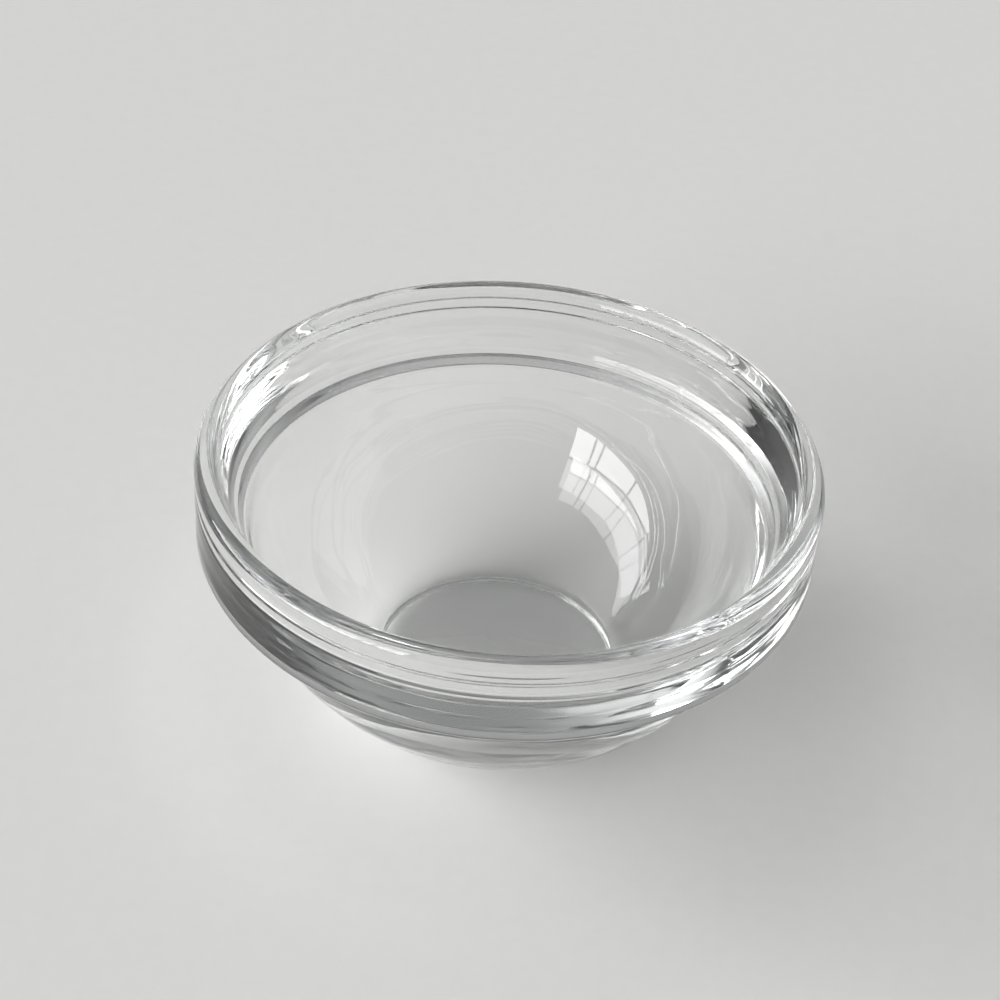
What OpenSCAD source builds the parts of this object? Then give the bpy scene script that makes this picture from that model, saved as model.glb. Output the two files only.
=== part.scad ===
// Stackable prep bowl in clear pressed glass: one piece, turned about the Z axis.
// Origin: centre of the foot, on the surface that the bowl rests on. +Z is up. Millimetres.

/* [Overall] */
// Diameter over the collar
bowl_d = 75; // [66:0.5:84]
// Height from the resting surface to the crest of the rim
bowl_h = 35.5; // [31:0.25:40]

/* [Rim and collar] */
// Thickness of the rounded rim
rim_t = 3.1; // [2:0.1:3.6]
// Height of the collar, from its underside to the crest of the rim
collar_h = 11.6; // [9:0.1:14]
// How far the collar stands out from the body at its underside
collar_step = 3.5; // [2.9:0.1:4.6]
// Rounding of the collar's lower edge
collar_edge_r = 1.65; // [0.6:0.05:2.4]
// Fillet where the collar's underside meets the body
shoulder_fillet_r = 0.5; // [0.3:0.1:1]

/* [Body] */
// Diameter of the foot, where the round body would meet the resting surface in a sharp edge
foot_d = 32.6; // [29:0.2:35]
// Rounding of the foot's outer edge
foot_edge_r = 1; // [0.6:0.1:2.4]
// Radius of the body's round side, from the foot to the shoulder under the collar
body_arc_r = 37; // [34:0.5:42]
// Width of the flat ring that the bowl stands on
foot_ring_w = 0.65; // [0.4:0.05:3]
// Depth of the recess under the base
recess_h = 0.7; // [0.3:0.1:1.2]
// Radius of the hollow side of the recess
recess_edge_r = 2; // [1.2:0.1:4]

/* [Inside] */
// Thickness of the wall where the body leaves the collar
wall_t = 3.25; // [2.4:0.05:4]
// Thickness of the base, from the resting surface to the floor inside
base_t = 3.9; // [3:0.1:6]
// Diameter of the flat floor inside, where the round wall would meet it in a sharp edge
floor_d = 29.4; // [25:0.2:31]
// Rounding of the edge of the floor inside
floor_edge_r = 0.5; // [0.3:0.1:3]
// Radius of the round wall inside, from the floor to the mouth
inside_arc_r = 35.5; // [33:0.5:37]

/* [Hidden] */
$fn = 240;

// How far a cut runs past the glass
overrun = 1;
// How far round and straight stretches overlap where they touch
seam = 0.001;

// Centre, on the axis side, of an arc of a given radius through a low point and a high point
function arc_centre(low, high, r) =
    let (half = (high - low) / 2)
    let (across = [-half.y, half.x] / norm(half))
    low + half + across * sqrt(r ^ 2 - half * half);

// Centre of a small arc that rounds the corner between a circle and a level line inside it
function corner_centre(centre, r, corner_r, level) = [
    centre.x + sqrt((r - corner_r) ^ 2 - (centre.y - level - corner_r) ^ 2),
    level + corner_r
];

// Point of a circle that lies straight out from its centre through another point
function on_circle(centre, r, through) =
    centre + r * (through - centre) / norm(through - centre);

// Rim and collar: centres of the bead and of the rounded lower edge
bowl_r = bowl_d / 2;
rim_r = rim_t / 2;
collar_z = bowl_h - collar_h;
rim_centre = [bowl_r - rim_r, bowl_h - rim_r];
collar_edge_centre = [bowl_r - collar_edge_r, collar_z + collar_edge_r];

// Body: a round side from the foot to the shoulder under the collar
shoulder = [bowl_r - collar_step, collar_z];
foot = [foot_d / 2, 0];
body_centre = arc_centre(foot, shoulder, body_arc_r);
foot_edge_centre = corner_centre(body_centre, body_arc_r, foot_edge_r, foot.y);

// Recess under the base: its hollow side ends where the flat ring starts
recess_reach = sqrt(recess_edge_r ^ 2 - (recess_edge_r - recess_h) ^ 2);
recess_edge_centre = [foot_edge_centre.x - foot_ring_w - recess_reach, recess_h - recess_edge_r];

// Fillet under the collar: it touches the underside and the body's face
fillet_z = collar_z - shoulder_fillet_r;
fillet_reach = sqrt((body_arc_r + shoulder_fillet_r) ^ 2 - (fillet_z - body_centre.y) ^ 2);
fillet_centre = [body_centre.x + fillet_reach, fillet_z];
fillet_root = on_circle(body_centre, body_arc_r - overrun, fillet_centre);
fillet_low = fillet_z - shoulder_fillet_r;

// Inside: a round wall from the edge of the floor to the mouth
wall_top = shoulder - [wall_t, 0];
floor_edge = [floor_d / 2, base_t];
inside_centre = arc_centre(floor_edge, wall_top, inside_arc_r);
floor_edge_centre = corner_centre(inside_centre, inside_arc_r, floor_edge_r, base_t);

// Mouth: a straight taper that touches the round inside below and the rim's bead above
mouth_span = rim_centre - inside_centre;
mouth_lean = acos((inside_arc_r + rim_r - seam) / norm(mouth_span));
mouth_angle = atan2(mouth_span.y, mouth_span.x) - mouth_lean;
mouth_normal = [cos(mouth_angle), sin(mouth_angle)];
mouth_low = inside_centre + inside_arc_r * mouth_normal;
mouth_high = rim_centre - (rim_r + overrun) * mouth_normal;
mouth_rise = bowl_h + overrun - mouth_low.y;
mouth_top = mouth_low + mouth_rise * [-tan(mouth_angle), 1];

module disc(centre, r) {
    translate(centre) circle(r = r);
}

// Section with a round side and a flat bottom, where the two meet in a rounded edge
module flat_bottomed_disc(centre, r, edge_centre, edge_r) {
    side = on_circle(centre, r, edge_centre);
    level = edge_centre.y - edge_r;
    disc(edge_centre, edge_r);
    polygon([[0, level], [edge_centre.x, level], edge_centre, side, [0, side.y]]);
    intersection() {
        disc(centre, r);
        translate([0, side.y]) square([centre.x + r + overrun, centre.y + r - side.y]);
    }
}

// Outer body, which stands on its foot and runs up inside the collar
module body_section() {
    intersection() {
        flat_bottomed_disc(body_centre, body_arc_r, foot_edge_centre, foot_edge_r);
        square([bowl_r, collar_edge_centre.y]);
    }
}

// Collar round the mouth, with its rounded lower edge, the bead of the rim and glass for the fillet
module collar_section() {
    disc(rim_centre, rim_r);
    disc(collar_edge_centre, collar_edge_r);
    polygon([
        [0, fillet_low],
        [fillet_centre.x, fillet_low],
        [fillet_centre.x, collar_z],
        [collar_edge_centre.x, collar_z],
        collar_edge_centre,
        [bowl_r, collar_edge_centre.y],
        [bowl_r, rim_centre.y],
        rim_centre,
        mouth_high,
        [0, mouth_high.y]
    ]);
}

// Space under the collar and outside the body, with the round corner that leaves the fillet
module under_collar_section() {
    disc(fillet_centre, shoulder_fillet_r + seam);
    difference() {
        polygon([
            [fillet_centre.x, collar_z],
            fillet_centre,
            fillet_root,
            [fillet_root.x, fillet_low - overrun],
            [bowl_r + overrun, fillet_low - overrun],
            [bowl_r + overrun, collar_z]
        ]);
        disc(body_centre, body_arc_r);
    }
}

// Room inside the bowl: flat floor, round wall and tapered mouth
module inside_section() {
    flat_bottomed_disc(inside_centre, inside_arc_r, floor_edge_centre, floor_edge_r);
    polygon([[0, mouth_low.y], mouth_low, mouth_top, [0, mouth_top.y]]);
}

// Shallow recess with a hollow side, which leaves a ring for the bowl to stand on
module recess_section() {
    disc(recess_edge_centre, recess_edge_r + seam);
    translate([0, -overrun]) square([recess_edge_centre.x, recess_h + overrun]);
}

module bowl() {
    color([0.86, 0.89, 0.89, 0.45])
        rotate_extrude()
            difference() {
                union() {
                    body_section();
                    collar_section();
                }
                under_collar_section();
                inside_section();
                recess_section();
            }
}

bowl();
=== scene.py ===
import math

import bpy
from bpy.props import FloatProperty, FloatVectorProperty, IntProperty, PointerProperty
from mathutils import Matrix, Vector, noise


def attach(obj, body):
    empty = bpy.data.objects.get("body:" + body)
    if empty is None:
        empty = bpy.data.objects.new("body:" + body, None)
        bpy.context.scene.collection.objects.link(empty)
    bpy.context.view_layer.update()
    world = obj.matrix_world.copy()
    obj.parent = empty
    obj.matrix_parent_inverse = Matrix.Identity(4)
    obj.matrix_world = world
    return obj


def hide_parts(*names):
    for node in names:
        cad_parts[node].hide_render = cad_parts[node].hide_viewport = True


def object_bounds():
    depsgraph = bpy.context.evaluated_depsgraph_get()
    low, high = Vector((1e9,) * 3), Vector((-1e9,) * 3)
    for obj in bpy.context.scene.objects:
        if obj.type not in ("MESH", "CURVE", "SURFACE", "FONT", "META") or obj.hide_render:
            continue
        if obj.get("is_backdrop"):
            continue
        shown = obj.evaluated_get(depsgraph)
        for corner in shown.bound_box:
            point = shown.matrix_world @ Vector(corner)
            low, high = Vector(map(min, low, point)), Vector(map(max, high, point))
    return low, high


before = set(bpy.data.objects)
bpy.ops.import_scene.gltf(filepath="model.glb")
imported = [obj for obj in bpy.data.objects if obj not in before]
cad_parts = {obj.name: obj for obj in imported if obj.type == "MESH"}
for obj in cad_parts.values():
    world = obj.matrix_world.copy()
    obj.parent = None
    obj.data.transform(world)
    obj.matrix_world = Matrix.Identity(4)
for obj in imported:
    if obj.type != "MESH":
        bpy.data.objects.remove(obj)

bl_info = {
    "name": "Prep bowl in clear pressed glass",
    "version": (1, 0, 0),
    "blender": (4, 5, 0),
    "location": "View3D > Sidebar > Prep bowl",
    "description": "Makes a stackable prep bowl in clear pressed glass, with a pale floor and studio light",
    "category": "Add Mesh",
}

# Height over which the waves of pressing fade out towards the flat foot, in metres
FOOT_CLEAR = 0.002
# Reach of the soft waves across the face and along the section, and of the fine lines likewise, in metres
WAVE_REACH, WAVE_RUN = 0.012, 0.006
RING_REACH, RING_RUN = 0.09, 0.0016
# Height at which the fine lines set in under the collar, and the height over which they do, in metres
RING_LOW, RING_FADE = 0.021, 0.003
# Fine lines round the outside of the collar: least radius of the face that bears them, half width,
# and the height and depth of each, in metres
LINE_RADIUS = 0.0372
LINE_WIDTH = 0.00024
COLLAR_LINES = ((0.0327, 0.00016), (0.0312, 0.0001))

# Brightness of the room's walls from the side away from the window (0) to the window's side (1)
WALL_STEPS = (
    (0.0, 0.08), (0.04, 0.2), (0.13, 0.34), (0.5, 0.27), (0.7, 0.3), (0.85, 0.5), (0.965, 1.0), (1.0, 1.15)
)
# Share of that brightness by height, from the level of the floor (0) to overhead (1)
RISE_STEPS = ((0.0, 0.02), (0.15, 0.03), (0.3, 0.15), (0.42, 0.6), (0.55, 1.0))
# Brightness overhead from the side away from the window (0) to the window's side (1)
OVERHEAD_STEPS = ((0.2, 0.3), (0.5, 0.36), (0.62, 0.6), (0.75, 1.0))
# Share of the room overhead by height
CEILING_STEPS = ((0.7, 0.0), (0.84, 1.0))
# Share of the light that the camera's side keeps, from the back (0) to the front (1)
FRONT_STEPS = ((0.5, 1.0), (0.68, 0.12))
# The window's panes: first and last bearing of each, and lowest and highest angle and level of each row
PANES = ((157.0, 180.0), (181.2, 203.0), (204.2, 225.0), (226.2, 229.4), (230.6, 240.0))
PANE_ROWS = ((13.0, 26.0, 1.0), (27.0, 39.0, 0.45))
# How far off the lamps stand, so that they light the whole floor evenly, in metres
LAMP_DISTANCE = 20.0
# The card at the right: its bearing, lowest and highest angle, and spread, in degrees
CARD_BEARING, CARD_HEIGHTS, CARD_SPREAD = 5.0, (1.0, 16.0), 60.0
# Half the floor's width, and its level just under the foot, in metres
FLOOR_HALF, FLOOR_LEVEL = 3.0, -0.0001
# Bounces of light that the thick collar needs
GLASS_BOUNCES = 32
# Blur of glass after a matt bounce: 0 is exact, and this value was picked for likeness
GLASS_BLUR = 0.25
# Angle past which an edge is drawn sharp, in degrees
SHARP_ANGLE = 35.0
CAD_LOW, CAD_HIGH = (Vector(corner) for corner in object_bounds())


class PrepBowlSizes(bpy.types.PropertyGroup):
    """Sizes of the glass, after the part's source, with a crisper edge under the collar"""

    bowl_d: FloatProperty(
        name="Bowl diameter",
        description="Diameter over the collar",
        default=CAD_HIGH.x - CAD_LOW.x,
        unit="LENGTH",
    )
    bowl_h: FloatProperty(
        name="Bowl height",
        description="Height from the resting surface to the crest of the rim",
        default=CAD_HIGH.z - CAD_LOW.z,
        unit="LENGTH",
    )
    rim_t: FloatProperty(
        name="Rim thickness",
        description="Thickness of the rounded rim",
        default=0.0031,
        unit="LENGTH",
    )
    collar_h: FloatProperty(
        name="Collar height",
        description="Height of the collar, from its underside to the crest of the rim",
        default=0.0116,
        unit="LENGTH",
    )
    collar_step: FloatProperty(
        name="Collar step",
        description="How far the collar stands out from the body at its underside",
        default=0.0035,
        unit="LENGTH",
    )
    collar_edge_r: FloatProperty(
        name="Collar edge rounding",
        description="Rounding of the collar's lower edge",
        default=0.001,
        unit="LENGTH",
    )
    shoulder_fillet_r: FloatProperty(
        name="Shoulder fillet",
        description="Fillet where the collar's underside meets the body",
        default=0.0005,
        unit="LENGTH",
    )
    foot_d: FloatProperty(
        name="Foot diameter",
        description="Diameter where the round body would meet the resting surface in a sharp edge",
        default=0.0326,
        unit="LENGTH",
    )
    foot_edge_r: FloatProperty(
        name="Foot edge rounding",
        description="Rounding of the foot's outer edge",
        default=0.001,
        unit="LENGTH",
    )
    body_arc_r: FloatProperty(
        name="Body roundness",
        description="Radius of the body's side, from the foot to the shoulder",
        default=0.037,
        unit="LENGTH",
    )
    foot_ring_w: FloatProperty(
        name="Foot ring width",
        description="Width of the flat ring that the bowl stands on",
        default=0.00065,
        unit="LENGTH",
    )
    recess_h: FloatProperty(
        name="Recess depth",
        description="Depth of the recess under the base",
        default=0.0007,
        unit="LENGTH",
    )
    recess_edge_r: FloatProperty(
        name="Recess edge rounding",
        description="Radius of the hollow side of the recess",
        default=0.002,
        unit="LENGTH",
    )
    wall_t: FloatProperty(
        name="Wall thickness",
        description="Thickness of the wall where the body leaves the collar",
        default=0.00325,
        unit="LENGTH",
    )
    base_t: FloatProperty(
        name="Base thickness",
        description="Thickness of the base, from the resting surface to the floor inside",
        default=0.0039,
        unit="LENGTH",
    )
    floor_d: FloatProperty(
        name="Inside floor diameter",
        description="Diameter where the round wall would meet the floor inside in a sharp edge",
        default=0.0294,
        unit="LENGTH",
    )
    floor_edge_r: FloatProperty(
        name="Inside floor edge rounding",
        description="Rounding of the edge of the floor inside",
        default=0.0005,
        unit="LENGTH",
    )
    inside_arc_r: FloatProperty(
        name="Inside roundness",
        description="Radius of the wall inside, from the floor to the mouth",
        default=0.0355,
        unit="LENGTH",
    )
    segments: IntProperty(
        name="Segments",
        description="Number of faces round the bowl",
        default=384,
        min=64,
    )


class PrepBowlFinish(bpy.types.PropertyGroup):
    """Finish of the pressed glass"""

    tint: FloatVectorProperty(
        name="Glass tint",
        description="Colour of the clearest glass",
        default=(0.995, 0.998, 0.997),
        size=3,
        subtype="COLOR",
        min=0.0,
        max=1.0,
    )
    haze_tint: FloatVectorProperty(
        name="Haze tint",
        description="Colour where the glass is least clear",
        default=(0.965, 0.978, 0.976),
        size=3,
        subtype="COLOR",
        min=0.0,
        max=1.0,
    )
    depth_tint: FloatVectorProperty(
        name="Depth tint",
        description="Colour that thick glass takes on",
        default=(0.12, 0.16, 0.16),
        size=3,
        subtype="COLOR",
        min=0.0,
        max=1.0,
    )
    depth_density: FloatProperty(
        name="Depth density",
        description="How fast glass darkens with thickness, per metre",
        default=3.0,
    )
    wave_depth: FloatProperty(
        name="Wave depth",
        description="Depth of the soft waves that pressing leaves in the faces",
        default=0.00006,
        unit="LENGTH",
    )
    line_depth: FloatProperty(
        name="Line depth",
        description="Depth of the fine lines that run round the collar",
        default=0.00009,
        unit="LENGTH",
    )


class PrepBowlStage(bpy.types.PropertyGroup):
    """Floor, lamps and camera"""

    floor_colour: FloatVectorProperty(
        name="Floor colour",
        description="Colour of the pale floor",
        default=(0.84, 0.837, 0.82),
        size=3,
        subtype="COLOR",
        min=0.0,
        max=1.0,
    )
    window_level: FloatProperty(
        name="Window level",
        description="Brightness of the window's panes at the left, where 1 is white",
        default=8.7,
    )
    window_bearing: FloatProperty(
        name="Window bearing",
        description="Where the window's side of the room lies, in degrees from +X",
        default=172.0,
    )
    card_level: FloatProperty(
        name="Card level",
        description="Brightness of the pale card at the right, where 1 is white",
        default=0.8,
    )
    room_level: FloatProperty(
        name="Room level",
        description="Brightness of the room, where 1 is white",
        default=1.2,
    )
    camera_place: FloatVectorProperty(
        name="Camera place",
        description="Where the camera stands",
        default=(-0.00092, -0.20128, 0.19033),
        size=3,
        subtype="TRANSLATION",
    )
    camera_turn: FloatVectorProperty(
        name="Camera turn",
        description="Which way the camera looks",
        default=(math.radians(50.9816), math.radians(-3.3537), math.radians(2.7140)),
        size=3,
        subtype="EULER",
    )
    camera_lens: FloatProperty(
        name="Lens",
        description="Focal length on a sensor 36 mm wide, in millimetres",
        default=77.04,
    )


def arc_centre(low, high, r):
    """Centre, on the axis side, of an arc of a given radius through a low point and a high point."""
    half = (high - low) / 2
    across = Vector((-half.y, half.x)).normalized()
    return low + half + across * math.sqrt(r ** 2 - half.length ** 2)


def corner_centre(centre, r, corner_r, level):
    """Centre of a small arc that rounds the corner between a circle and a level line inside it."""
    reach = math.sqrt((r - corner_r) ** 2 - (centre.y - level - corner_r) ** 2)
    return Vector((centre.x + reach, level + corner_r))


def arc(centre, r, start, end, steps):
    """Points of an arc, with both ends, by angles in degrees."""
    points = []
    for step in range(steps + 1):
        angle = math.radians(start + (end - start) * step / steps)
        points.append(centre + r * Vector((math.cos(angle), math.sin(angle))))
    return points


def line(start, end, steps):
    """Points of a straight stretch, without its ends."""
    return [start.lerp(end, step / steps) for step in range(1, steps)]


def angle_to(centre, point):
    """Angle in degrees from a centre to a point."""
    return math.degrees(math.atan2(point.y - centre.y, point.x - centre.x))


def bowl_section(sizes):
    """The bowl's half section, from the axis under the base round to the axis on the floor inside."""
    bowl_r = sizes.bowl_d / 2
    rim_r = sizes.rim_t / 2
    collar_z = sizes.bowl_h - sizes.collar_h
    rim_centre = Vector((bowl_r - rim_r, sizes.bowl_h - rim_r))
    edge_centre = Vector((bowl_r - sizes.collar_edge_r, collar_z + sizes.collar_edge_r))

    shoulder = Vector((bowl_r - sizes.collar_step, collar_z))
    foot = Vector((sizes.foot_d / 2, 0.0))
    body_r = sizes.body_arc_r
    body_centre = arc_centre(foot, shoulder, body_r)
    foot_edge_centre = corner_centre(body_centre, body_r, sizes.foot_edge_r, 0.0)
    fillet_r = sizes.shoulder_fillet_r
    fillet_z = collar_z - fillet_r
    fillet_reach = math.sqrt((body_r + fillet_r) ** 2 - (fillet_z - body_centre.y) ** 2)
    fillet_centre = Vector((body_centre.x + fillet_reach, fillet_z))

    wall_top = shoulder - Vector((sizes.wall_t, 0.0))
    floor_edge = Vector((sizes.floor_d / 2, sizes.base_t))
    inside_r = sizes.inside_arc_r
    inside_centre = arc_centre(floor_edge, wall_top, inside_r)
    floor_edge_centre = corner_centre(inside_centre, inside_r, sizes.floor_edge_r, sizes.base_t)
    mouth_span = rim_centre - inside_centre
    mouth_lean = math.acos((inside_r + rim_r) / mouth_span.length)
    mouth_angle = math.degrees(math.atan2(mouth_span.y, mouth_span.x) - mouth_lean)

    foot_angle = angle_to(body_centre, foot_edge_centre)
    fillet_angle = angle_to(body_centre, fillet_centre)
    floor_angle = angle_to(inside_centre, floor_edge_centre)
    recess_r = foot_edge_centre.x - sizes.foot_ring_w
    recess_h = sizes.recess_h
    dish_r = sizes.recess_edge_r
    dish_reach = math.sqrt(dish_r ** 2 - (dish_r - recess_h) ** 2)
    dish_centre = Vector((recess_r - dish_reach, recess_h - dish_r))
    dish_angle = angle_to(dish_centre, Vector((recess_r, 0.0)))

    points = [Vector((0.0, recess_h))]
    points += line(Vector((0.0, recess_h)), Vector((dish_centre.x, recess_h)), 12)
    points += arc(dish_centre, dish_r, 90.0, dish_angle, 12)
    points += line(Vector((recess_r, 0.0)), Vector((foot_edge_centre.x, 0.0)), 4)
    points += arc(foot_edge_centre, sizes.foot_edge_r, -90.0, foot_angle, 10)
    points += arc(body_centre, body_r, foot_angle, fillet_angle, 80)[1:]
    points += arc(fillet_centre, fillet_r, fillet_angle + 180.0, 90.0, 10)[1:]
    points += line(Vector((fillet_centre.x, collar_z)), Vector((edge_centre.x, collar_z)), 8)
    points += arc(edge_centre, sizes.collar_edge_r, -90.0, 0.0, 18)
    points += line(Vector((bowl_r, edge_centre.y)), Vector((bowl_r, rim_centre.y)), 72)
    points += arc(rim_centre, rim_r, 0.0, mouth_angle + 180.0, 32)
    mouth_low = inside_centre + inside_r * Vector(
        (math.cos(math.radians(mouth_angle)), math.sin(math.radians(mouth_angle)))
    )
    points += line(points[-1], mouth_low, 60)
    points += arc(inside_centre, inside_r, mouth_angle, floor_angle, 90)
    points += arc(floor_edge_centre, sizes.floor_edge_r, floor_angle, -90.0, 12)[1:]
    points += line(points[-1], Vector((0.0, sizes.base_t)), 12)
    points += [Vector((0.0, sizes.base_t))]
    return points


def pressed_wave(bearing, point, along, finish):
    """How far pressing has left the face under its true place, at a point of the section and a bearing."""
    east = math.cos(bearing) * point.x
    north = math.sin(bearing) * point.x
    foot = min(1.0, max(0.0, (point.y - FOOT_CLEAR / 4) / FOOT_CLEAR))
    broad = noise.noise(Vector((east / WAVE_REACH, north / WAVE_REACH, along / WAVE_RUN)))
    lines = noise.noise(Vector((east / RING_REACH, north / RING_REACH, along / RING_RUN)))
    collar = min(1.0, max(0.0, (point.y - RING_LOW) / RING_FADE))
    outside = 1.0 if point.x > LINE_RADIUS else 0.0
    groove = outside * sum(
        depth * math.exp(-(((point.y - height) / LINE_WIDTH) ** 2)) for height, depth in COLLAR_LINES
    )
    waves = finish.wave_depth * (0.5 + 0.5 * broad) + collar * finish.line_depth * (0.5 + 0.5 * lines)
    return foot * waves + groove


def turned_mesh(name, section, segments, finish):
    """A closed mesh turned about the Z axis from a half section that starts and ends on the axis."""
    rings = section[1:-1]
    vertices = [(0.0, 0.0, section[0].y), (0.0, 0.0, section[-1].y)]
    along = 0.0
    for number, point in enumerate(rings, 1):
        along += (point - section[number - 1]).length
        run = (section[number + 1] - section[number - 1]).normalized()
        inward = Vector((-run.y, run.x))
        for segment in range(segments):
            bearing = 2 * math.pi * segment / segments
            place = point + inward * pressed_wave(bearing, point, along, finish)
            vertices.append((place.x * math.cos(bearing), place.x * math.sin(bearing), place.y))
    faces = []
    last = 2 + (len(rings) - 1) * segments
    for segment in range(segments):
        after = (segment + 1) % segments
        faces.append((0, 2 + after, 2 + segment))
        faces.append((1, last + segment, last + after))
    for ring in range(len(rings) - 1):
        low = 2 + ring * segments
        high = low + segments
        for segment in range(segments):
            after = (segment + 1) % segments
            faces.append((low + segment, low + after, high + after, high + segment))
    mesh = bpy.data.meshes.new(name)
    mesh.from_pydata(vertices, [], faces)
    mesh.validate()
    mesh.update()
    mesh.shade_smooth()
    mesh.set_sharp_from_angle(angle=math.radians(SHARP_ANGLE))
    return mesh


def new_material(name):
    """An empty node material with its output node."""
    material = bpy.data.materials.new(name)
    material.use_nodes = True
    tree = material.node_tree
    tree.nodes.clear()
    output = tree.nodes.new("ShaderNodeOutputMaterial")
    return material, tree, output


def clear_glass_material(finish):
    """Clear pressed glass with a faint haze and the soft skin that pressing leaves."""
    material, tree, output = new_material("clear_glass")
    place = tree.nodes.new("ShaderNodeTexCoord")

    cloud = tree.nodes.new("ShaderNodeTexNoise")
    cloud.inputs["Scale"].default_value = 60.0
    cloud.inputs["Detail"].default_value = 3.0
    tree.links.new(place.outputs["Object"], cloud.inputs["Vector"])

    colour = tree.nodes.new("ShaderNodeMix")
    colour.data_type = "RGBA"
    colour.inputs["A"].default_value = (*finish.tint, 1.0)
    colour.inputs["B"].default_value = (*finish.haze_tint, 1.0)
    tree.links.new(cloud.outputs["Fac"], colour.inputs["Factor"])

    polish = tree.nodes.new("ShaderNodeMapRange")
    polish.inputs["From Min"].default_value = 0.35
    polish.inputs["From Max"].default_value = 0.75
    polish.inputs["To Min"].default_value = 0.0
    polish.inputs["To Max"].default_value = 0.03
    tree.links.new(cloud.outputs["Fac"], polish.inputs["Value"])

    grain = tree.nodes.new("ShaderNodeTexNoise")
    grain.inputs["Scale"].default_value = 180.0
    grain.inputs["Detail"].default_value = 1.0
    tree.links.new(place.outputs["Object"], grain.inputs["Vector"])
    skin = tree.nodes.new("ShaderNodeBump")
    skin.inputs["Strength"].default_value = 0.05
    skin.inputs["Distance"].default_value = 0.0002
    tree.links.new(grain.outputs["Fac"], skin.inputs["Height"])

    glass = tree.nodes.new("ShaderNodeBsdfPrincipled")
    glass.inputs["Transmission Weight"].default_value = 1.0
    glass.inputs["IOR"].default_value = 1.52
    tree.links.new(colour.outputs["Result"], glass.inputs["Base Color"])
    tree.links.new(polish.outputs["Result"], glass.inputs["Roughness"])
    tree.links.new(skin.outputs["Normal"], glass.inputs["Normal"])
    tree.links.new(glass.outputs["BSDF"], output.inputs["Surface"])

    depth = tree.nodes.new("ShaderNodeVolumeAbsorption")
    depth.inputs["Color"].default_value = (*finish.depth_tint, 1.0)
    depth.inputs["Density"].default_value = finish.depth_density
    tree.links.new(depth.outputs["Volume"], output.inputs["Volume"])
    return material


def floor_material(stage):
    """Plain pale floor with a faint mottle."""
    material, tree, output = new_material("pale_floor")
    place = tree.nodes.new("ShaderNodeTexCoord")
    mottle = tree.nodes.new("ShaderNodeTexNoise")
    mottle.inputs["Scale"].default_value = 400.0
    mottle.inputs["Detail"].default_value = 4.0
    tree.links.new(place.outputs["Object"], mottle.inputs["Vector"])
    colour = tree.nodes.new("ShaderNodeMix")
    colour.data_type = "RGBA"
    colour.inputs["A"].default_value = (*(0.98 * c for c in stage.floor_colour), 1.0)
    colour.inputs["B"].default_value = (*(1.02 * c for c in stage.floor_colour), 1.0)
    tree.links.new(mottle.outputs["Fac"], colour.inputs["Factor"])
    sheen = tree.nodes.new("ShaderNodeMapRange")
    sheen.inputs["To Min"].default_value = 0.7
    sheen.inputs["To Max"].default_value = 0.9
    tree.links.new(mottle.outputs["Fac"], sheen.inputs["Value"])
    paint = tree.nodes.new("ShaderNodeBsdfPrincipled")
    tree.links.new(sheen.outputs["Result"], paint.inputs["Roughness"])
    paint.inputs["Specular IOR Level"].default_value = 0.2
    tree.links.new(colour.outputs["Result"], paint.inputs["Base Color"])
    tree.links.new(paint.outputs["BSDF"], output.inputs["Surface"])
    return material


def softbox(name, bearing, distance, heights, spread, level):
    """A flat soft lamp that faces the bowl: its bearing, lowest and highest angle and spread are in degrees,
    and a level of 1 is white."""
    low, high = (distance * math.tan(math.radians(angle)) for angle in heights)
    lamp = bpy.data.lights.new(name, "AREA")
    lamp.shape = "RECTANGLE"
    lamp.size = 2 * distance * math.tan(math.radians(spread / 2))
    lamp.size_y = high - low
    lamp.energy = level * math.pi * lamp.size * lamp.size_y
    holder = bpy.data.objects.new(name, lamp)
    bpy.context.scene.collection.objects.link(holder)
    turn = math.radians(bearing)
    holder.location = (distance * math.cos(turn), distance * math.sin(turn), (low + high) / 2)
    holder.rotation_euler = (math.radians(90.0), 0.0, turn + math.radians(90.0))
    return holder


def grey_ramp(tree, value, steps, name):
    """A ramp of greys from 0 to 1, driven by a value."""
    ramp = tree.nodes.new("ShaderNodeValToRGB")
    ramp.label = name
    elements = ramp.color_ramp.elements
    while len(elements) < len(steps):
        elements.new(1.0)
    for element, (position, grey) in zip(elements, steps):
        element.position = position
        element.color = (grey, grey, grey, 1.0)
    tree.links.new(value, ramp.inputs["Fac"])
    return ramp.outputs["Color"]


def share_along(tree, direction, axis):
    """How far a direction points along an axis, from 0 for straight away to 1 for straight on."""
    dot = tree.nodes.new("ShaderNodeVectorMath")
    dot.operation = "DOT_PRODUCT"
    dot.inputs[1].default_value = axis
    tree.links.new(direction, dot.inputs[0])
    share = tree.nodes.new("ShaderNodeMapRange")
    share.inputs["From Min"].default_value = -1.0
    tree.links.new(dot.outputs["Value"], share.inputs["Value"])
    return share.outputs["Result"]


def mixed(tree, blend, factor, low, high):
    """Two colours mixed in a given way, by a number or by a socket."""
    mix = tree.nodes.new("ShaderNodeMix")
    mix.data_type = "RGBA"
    mix.blend_type = blend
    if isinstance(factor, float):
        mix.inputs["Factor"].default_value = factor
    else:
        tree.links.new(factor, mix.inputs["Factor"])
    tree.links.new(low, mix.inputs["A"])
    tree.links.new(high, mix.inputs["B"])
    return mix.outputs["Result"]


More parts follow.
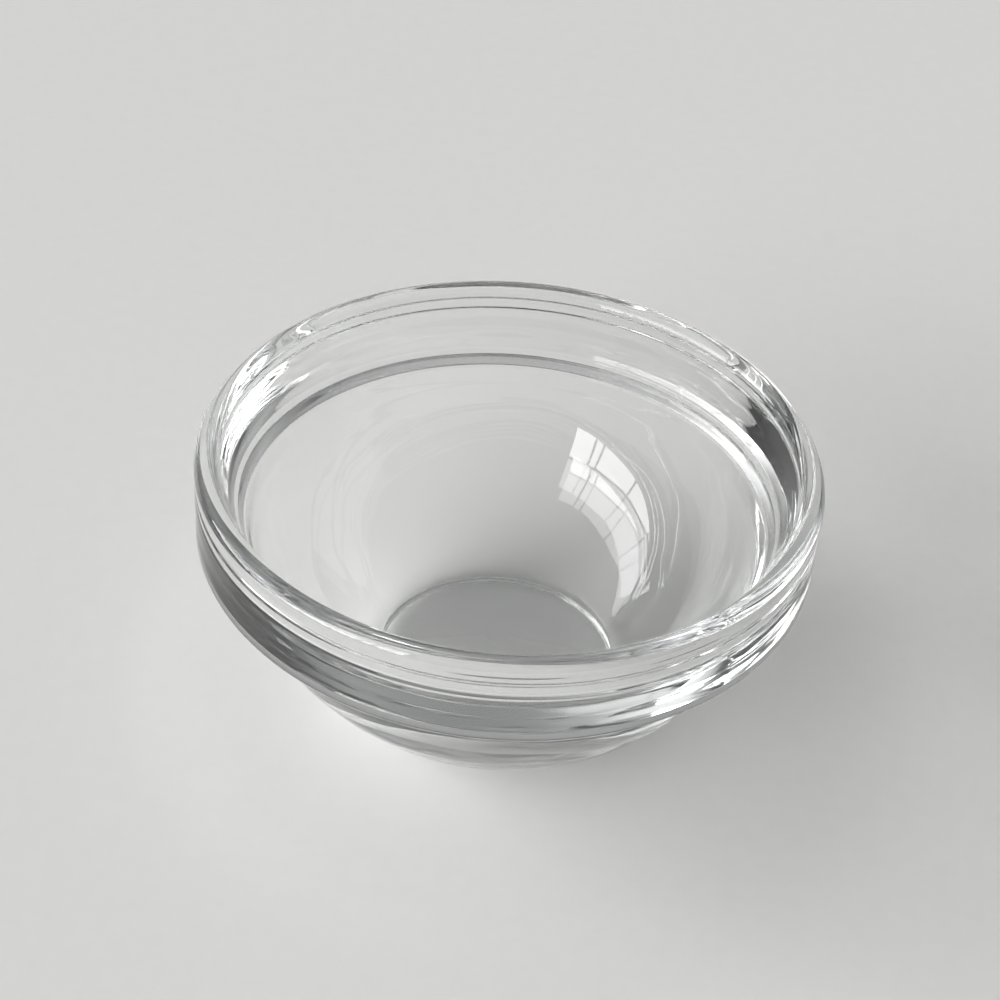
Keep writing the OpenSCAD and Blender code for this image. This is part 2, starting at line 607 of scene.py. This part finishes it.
def grey_room_world(stage):
    """A grey room: bright on the window's side, dim on the other sides and dark low down."""
    world = bpy.data.worlds.new("grey_room")
    world.use_nodes = True
    tree = world.node_tree
    background = tree.nodes["Background"]
    place = tree.nodes.new("ShaderNodeTexCoord")
    parts = tree.nodes.new("ShaderNodeSeparateXYZ")
    tree.links.new(place.outputs["Generated"], parts.inputs["Vector"])

    level = tree.nodes.new("ShaderNodeVectorMath")
    level.operation = "MULTIPLY"
    level.inputs[1].default_value = (1.0, 1.0, 0.0)
    tree.links.new(place.outputs["Generated"], level.inputs[0])
    bearing = tree.nodes.new("ShaderNodeVectorMath")
    bearing.operation = "NORMALIZE"
    tree.links.new(level.outputs["Vector"], bearing.inputs[0])

    window = math.radians(stage.window_bearing)
    towards = (math.cos(window), math.sin(window), 0.0)
    side = share_along(tree, bearing.outputs["Vector"], towards)
    lean = share_along(tree, place.outputs["Generated"], towards)
    front = share_along(tree, place.outputs["Generated"], (0.0, -1.0, 0.0))

    walls = grey_ramp(tree, side, WALL_STEPS, "walls")
    rise = grey_ramp(tree, parts.outputs["Z"], RISE_STEPS, "rise")
    overhead = grey_ramp(tree, lean, OVERHEAD_STEPS, "overhead")
    ceiling = grey_ramp(tree, parts.outputs["Z"], CEILING_STEPS, "ceiling")
    camera_side = grey_ramp(tree, front, FRONT_STEPS, "camera side")

    lit = mixed(tree, "MULTIPLY", 1.0, walls, rise)
    room = mixed(tree, "MIX", ceiling, lit, overhead)
    dimmed = mixed(tree, "MULTIPLY", 1.0, room, camera_side)
    tree.links.new(dimmed, background.inputs["Color"])
    background.inputs["Strength"].default_value = stage.room_level
    return world


class PREPBOWL_OT_bowl(bpy.types.Operator):
    """Makes the bowl from one gather of clear glass"""

    bl_idname = "prepbowl.bowl"
    bl_label = "Make the bowl"

    def execute(self, context):
        sizes = context.scene.prep_bowl_sizes
        finish = context.scene.prep_bowl_finish
        mesh = turned_mesh("glass_bowl", bowl_section(sizes), sizes.segments, finish)
        bowl = bpy.data.objects.new("glass_bowl", mesh)
        context.scene.collection.objects.link(bowl)
        mesh.materials.append(clear_glass_material(finish))
        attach(bowl, "root")
        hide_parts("bowl")
        return {"FINISHED"}


class PREPBOWL_OT_stage(bpy.types.Operator):
    """Makes the pale floor, the soft lamps and the camera"""

    bl_idname = "prepbowl.stage"
    bl_label = "Make the stage"

    def execute(self, context):
        scene = context.scene
        stage = scene.prep_bowl_stage

        mesh = bpy.data.meshes.new("pale_floor")
        half = FLOOR_HALF
        corners = [(x, y, FLOOR_LEVEL) for x, y in ((-half, -half), (half, -half), (half, half), (-half, half))]
        mesh.from_pydata(corners, [], [(0, 1, 2, 3)])
        mesh.update()
        mesh.materials.append(floor_material(stage))
        floor = bpy.data.objects.new("pale_floor", mesh)
        scene.collection.objects.link(floor)
        floor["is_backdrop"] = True

        for row, (low, high, share) in enumerate(PANE_ROWS, 1):
            for number, (first, last) in enumerate(PANES, 1):
                softbox(
                    f"window_pane_{row}_{number}",
                    (first + last) / 2,
                    LAMP_DISTANCE,
                    (low, high),
                    last - first,
                    share * stage.window_level,
                )
        softbox("side_card", CARD_BEARING, LAMP_DISTANCE, CARD_HEIGHTS, CARD_SPREAD, stage.card_level)

        scene.world = grey_room_world(stage)

        camera = bpy.data.cameras.new("camera")
        camera.sensor_width = 36.0
        camera.lens = stage.camera_lens
        camera.clip_start = 0.01
        holder = bpy.data.objects.new("camera", camera)
        scene.collection.objects.link(holder)
        holder.location = stage.camera_place
        holder.rotation_euler = stage.camera_turn
        scene.camera = holder
        scene.view_settings.view_transform = "Standard"
        scene.cycles.max_bounces = GLASS_BOUNCES
        scene.cycles.glossy_bounces = GLASS_BOUNCES
        scene.cycles.transmission_bounces = GLASS_BOUNCES
        scene.cycles.blur_glossy = GLASS_BLUR
        return {"FINISHED"}


class PREPBOWL_PT_sidebar(bpy.types.Panel):
    """Lists what the add-on makes and the values that it takes"""

    bl_idname = "PREPBOWL_PT_sidebar"
    bl_label = "Prep bowl"
    bl_space_type = "VIEW_3D"
    bl_region_type = "UI"
    bl_category = "Prep bowl"

    def draw(self, context):
        column = self.layout.column()
        for values in (
            context.scene.prep_bowl_sizes,
            context.scene.prep_bowl_finish,
            context.scene.prep_bowl_stage,
        ):
            for value in values.__annotations__:
                column.prop(values, value)
        column.operator(PREPBOWL_OT_bowl.bl_idname)
        column.operator(PREPBOWL_OT_stage.bl_idname)


CLASSES = (
    PrepBowlSizes,
    PrepBowlFinish,
    PrepBowlStage,
    PREPBOWL_OT_bowl,
    PREPBOWL_OT_stage,
    PREPBOWL_PT_sidebar,
)


def register():
    for each in CLASSES:
        bpy.utils.register_class(each)
    bpy.types.Scene.prep_bowl_sizes = PointerProperty(type=PrepBowlSizes)
    bpy.types.Scene.prep_bowl_finish = PointerProperty(type=PrepBowlFinish)
    bpy.types.Scene.prep_bowl_stage = PointerProperty(type=PrepBowlStage)


def unregister():
    del bpy.types.Scene.prep_bowl_stage
    del bpy.types.Scene.prep_bowl_finish
    del bpy.types.Scene.prep_bowl_sizes
    for each in reversed(CLASSES):
        bpy.utils.unregister_class(each)


def main():
    register()
    bpy.ops.prepbowl.bowl()
    bpy.ops.prepbowl.stage()


if __name__ == "__main__":
    main()
